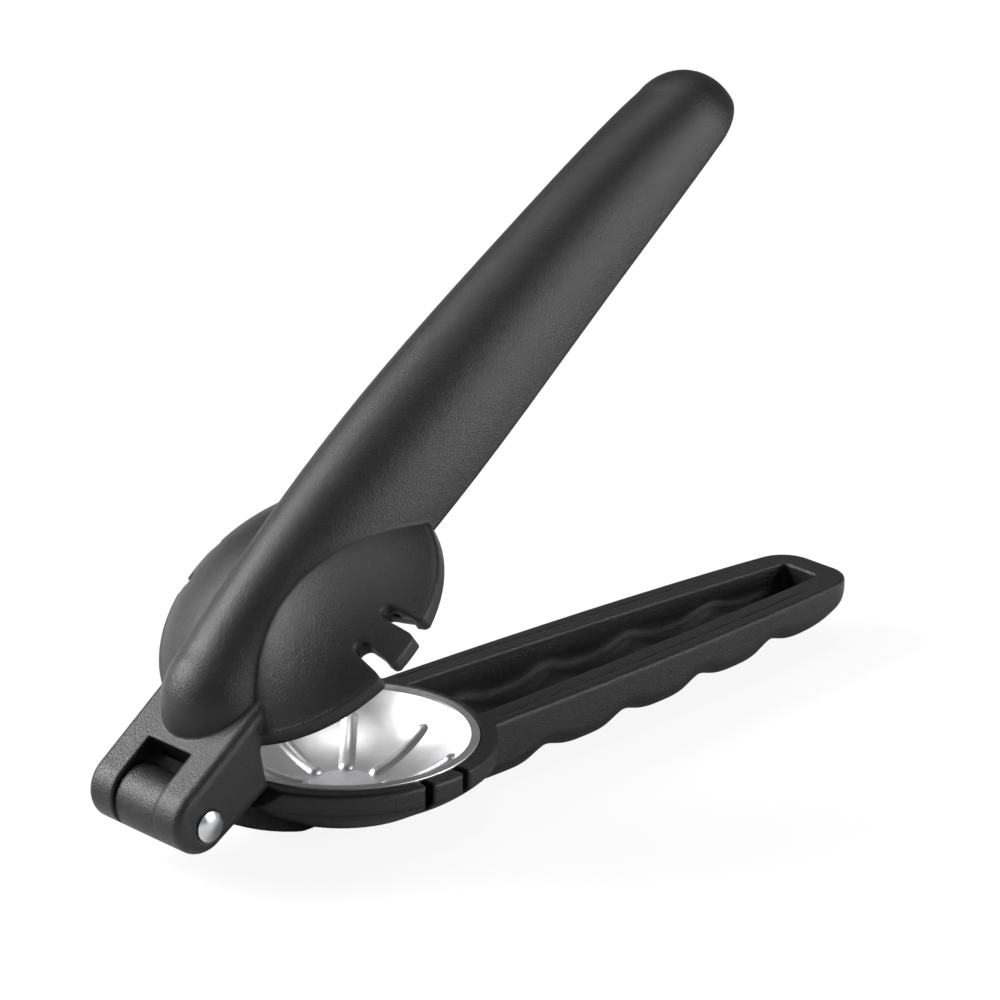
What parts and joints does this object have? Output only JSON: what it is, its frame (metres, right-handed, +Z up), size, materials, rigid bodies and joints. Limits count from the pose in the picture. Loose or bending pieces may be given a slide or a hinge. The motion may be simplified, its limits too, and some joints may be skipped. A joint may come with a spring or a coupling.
{
  "type": "chestnut cutter",
  "caption": "Hand-held chestnut cutter: two hinged plastic levers, a ribbed steel bowl below and a cross of blades under a domed cover.",
  "frame": {"origin": "on the rest face, straight under the centre of the steel bowl", "axes": "+Z up and square to the bowl's rim, +X from the bowl along the lower grip, Y along the hinge axis with the domed rivet head on -Y"},
  "size_m": [0.1842, 0.0588, 0.1271],
  "materials": {
    "lever_plastic": "satin with a fine moulded grain",
    "carrier_plastic": "satin",
    "bowl_steel": "polished stainless sheet",
    "blade_steel": "ground stainless",
    "rivet_steel": "polished"
  },
  "bodies": {
    "lower_lever": {"lower_handle": "lever_plastic", "bowl_insert": "bowl_steel"},
    "upper_lever": {"upper_handle": "lever_plastic", "blade_carrier": "carrier_plastic", "long_blade": "blade_steel", "cross_blade": "blade_steel", "hinge_pin": "rivet_steel", "pin_sleeve": "rivet_steel"}
  },
  "joints": [
    {"name": "lever_hinge", "type": "hinge", "parent": "lower_lever", "child": "upper_lever", "pos_m": [-0.0445, 0, 0.0128], "axis": [0, -1, 0], "range_deg": [-36.7, 58]}
  ]
}
